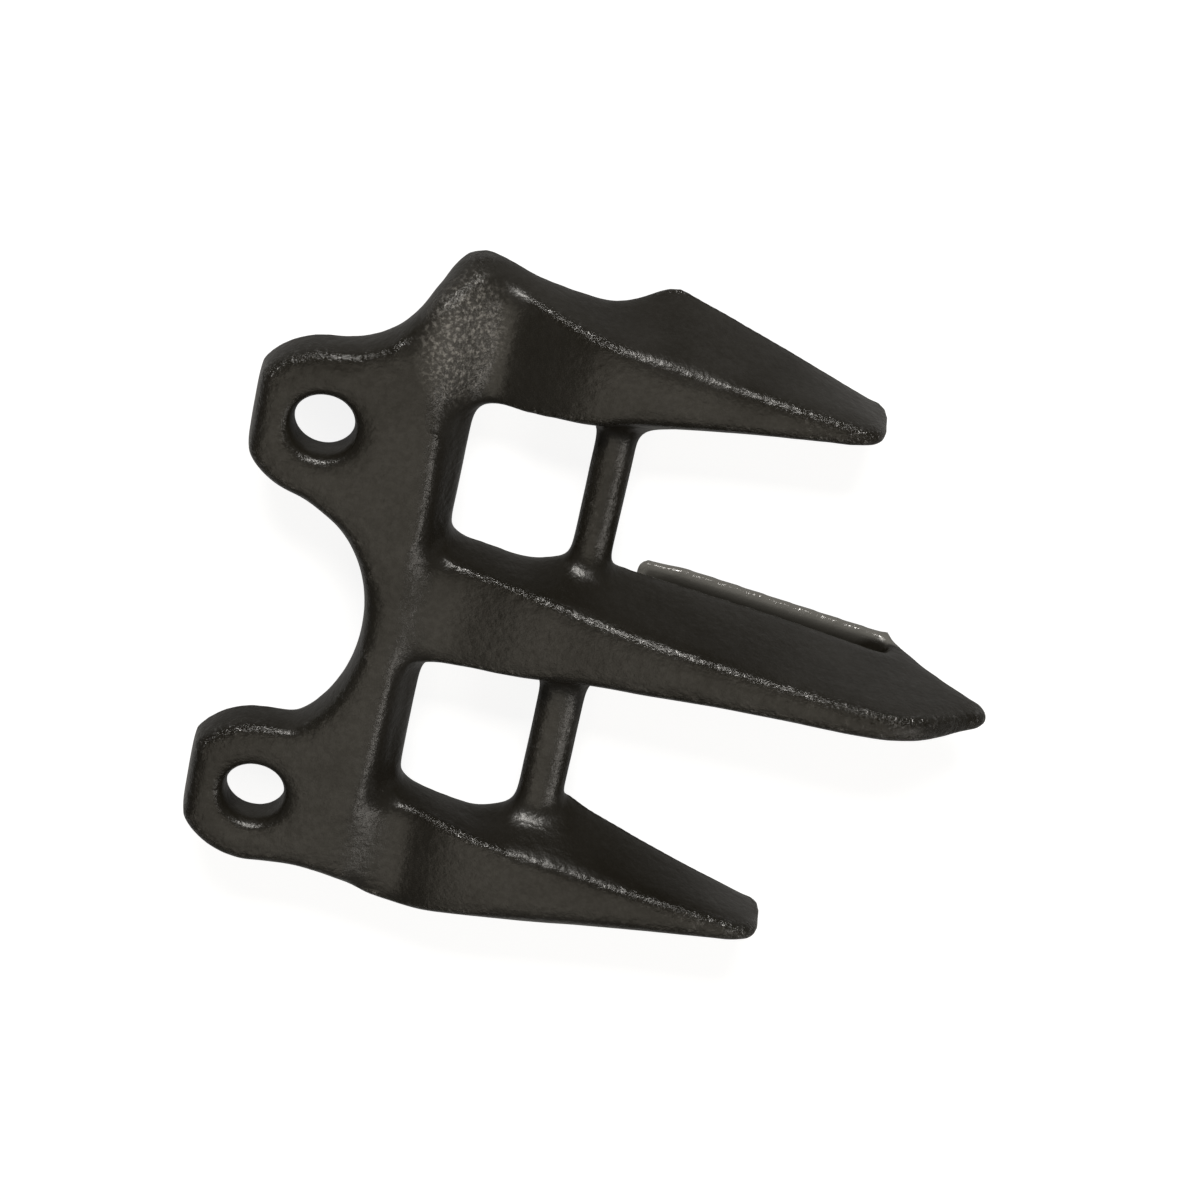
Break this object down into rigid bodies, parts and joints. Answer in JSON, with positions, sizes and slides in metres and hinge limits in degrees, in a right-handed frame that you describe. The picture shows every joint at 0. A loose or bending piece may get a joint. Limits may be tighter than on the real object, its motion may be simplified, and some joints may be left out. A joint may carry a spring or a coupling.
{
  "type": "mower knife guard",
  "caption": "Forged mower knife guard: bolting plate with windows and crossbars, short outer prongs and a longer middle prong whose ledger and lip guide the knife.",
  "frame": {"origin": "on the mounting face, midway between the two bolt holes", "axes": "+X forward to the prong tips, +Y along the cutter bar, +Z from the mounting face to the keel side of the prongs"},
  "size_m": [0.1399, 0.1305, 0.029],
  "materials": {
    "guard_paint": "semi-gloss warm black paint over a rough forged skin"
  },
  "bodies": {
    "root": {"knife_guard": "guard_paint"}
  },
  "joints": []
}
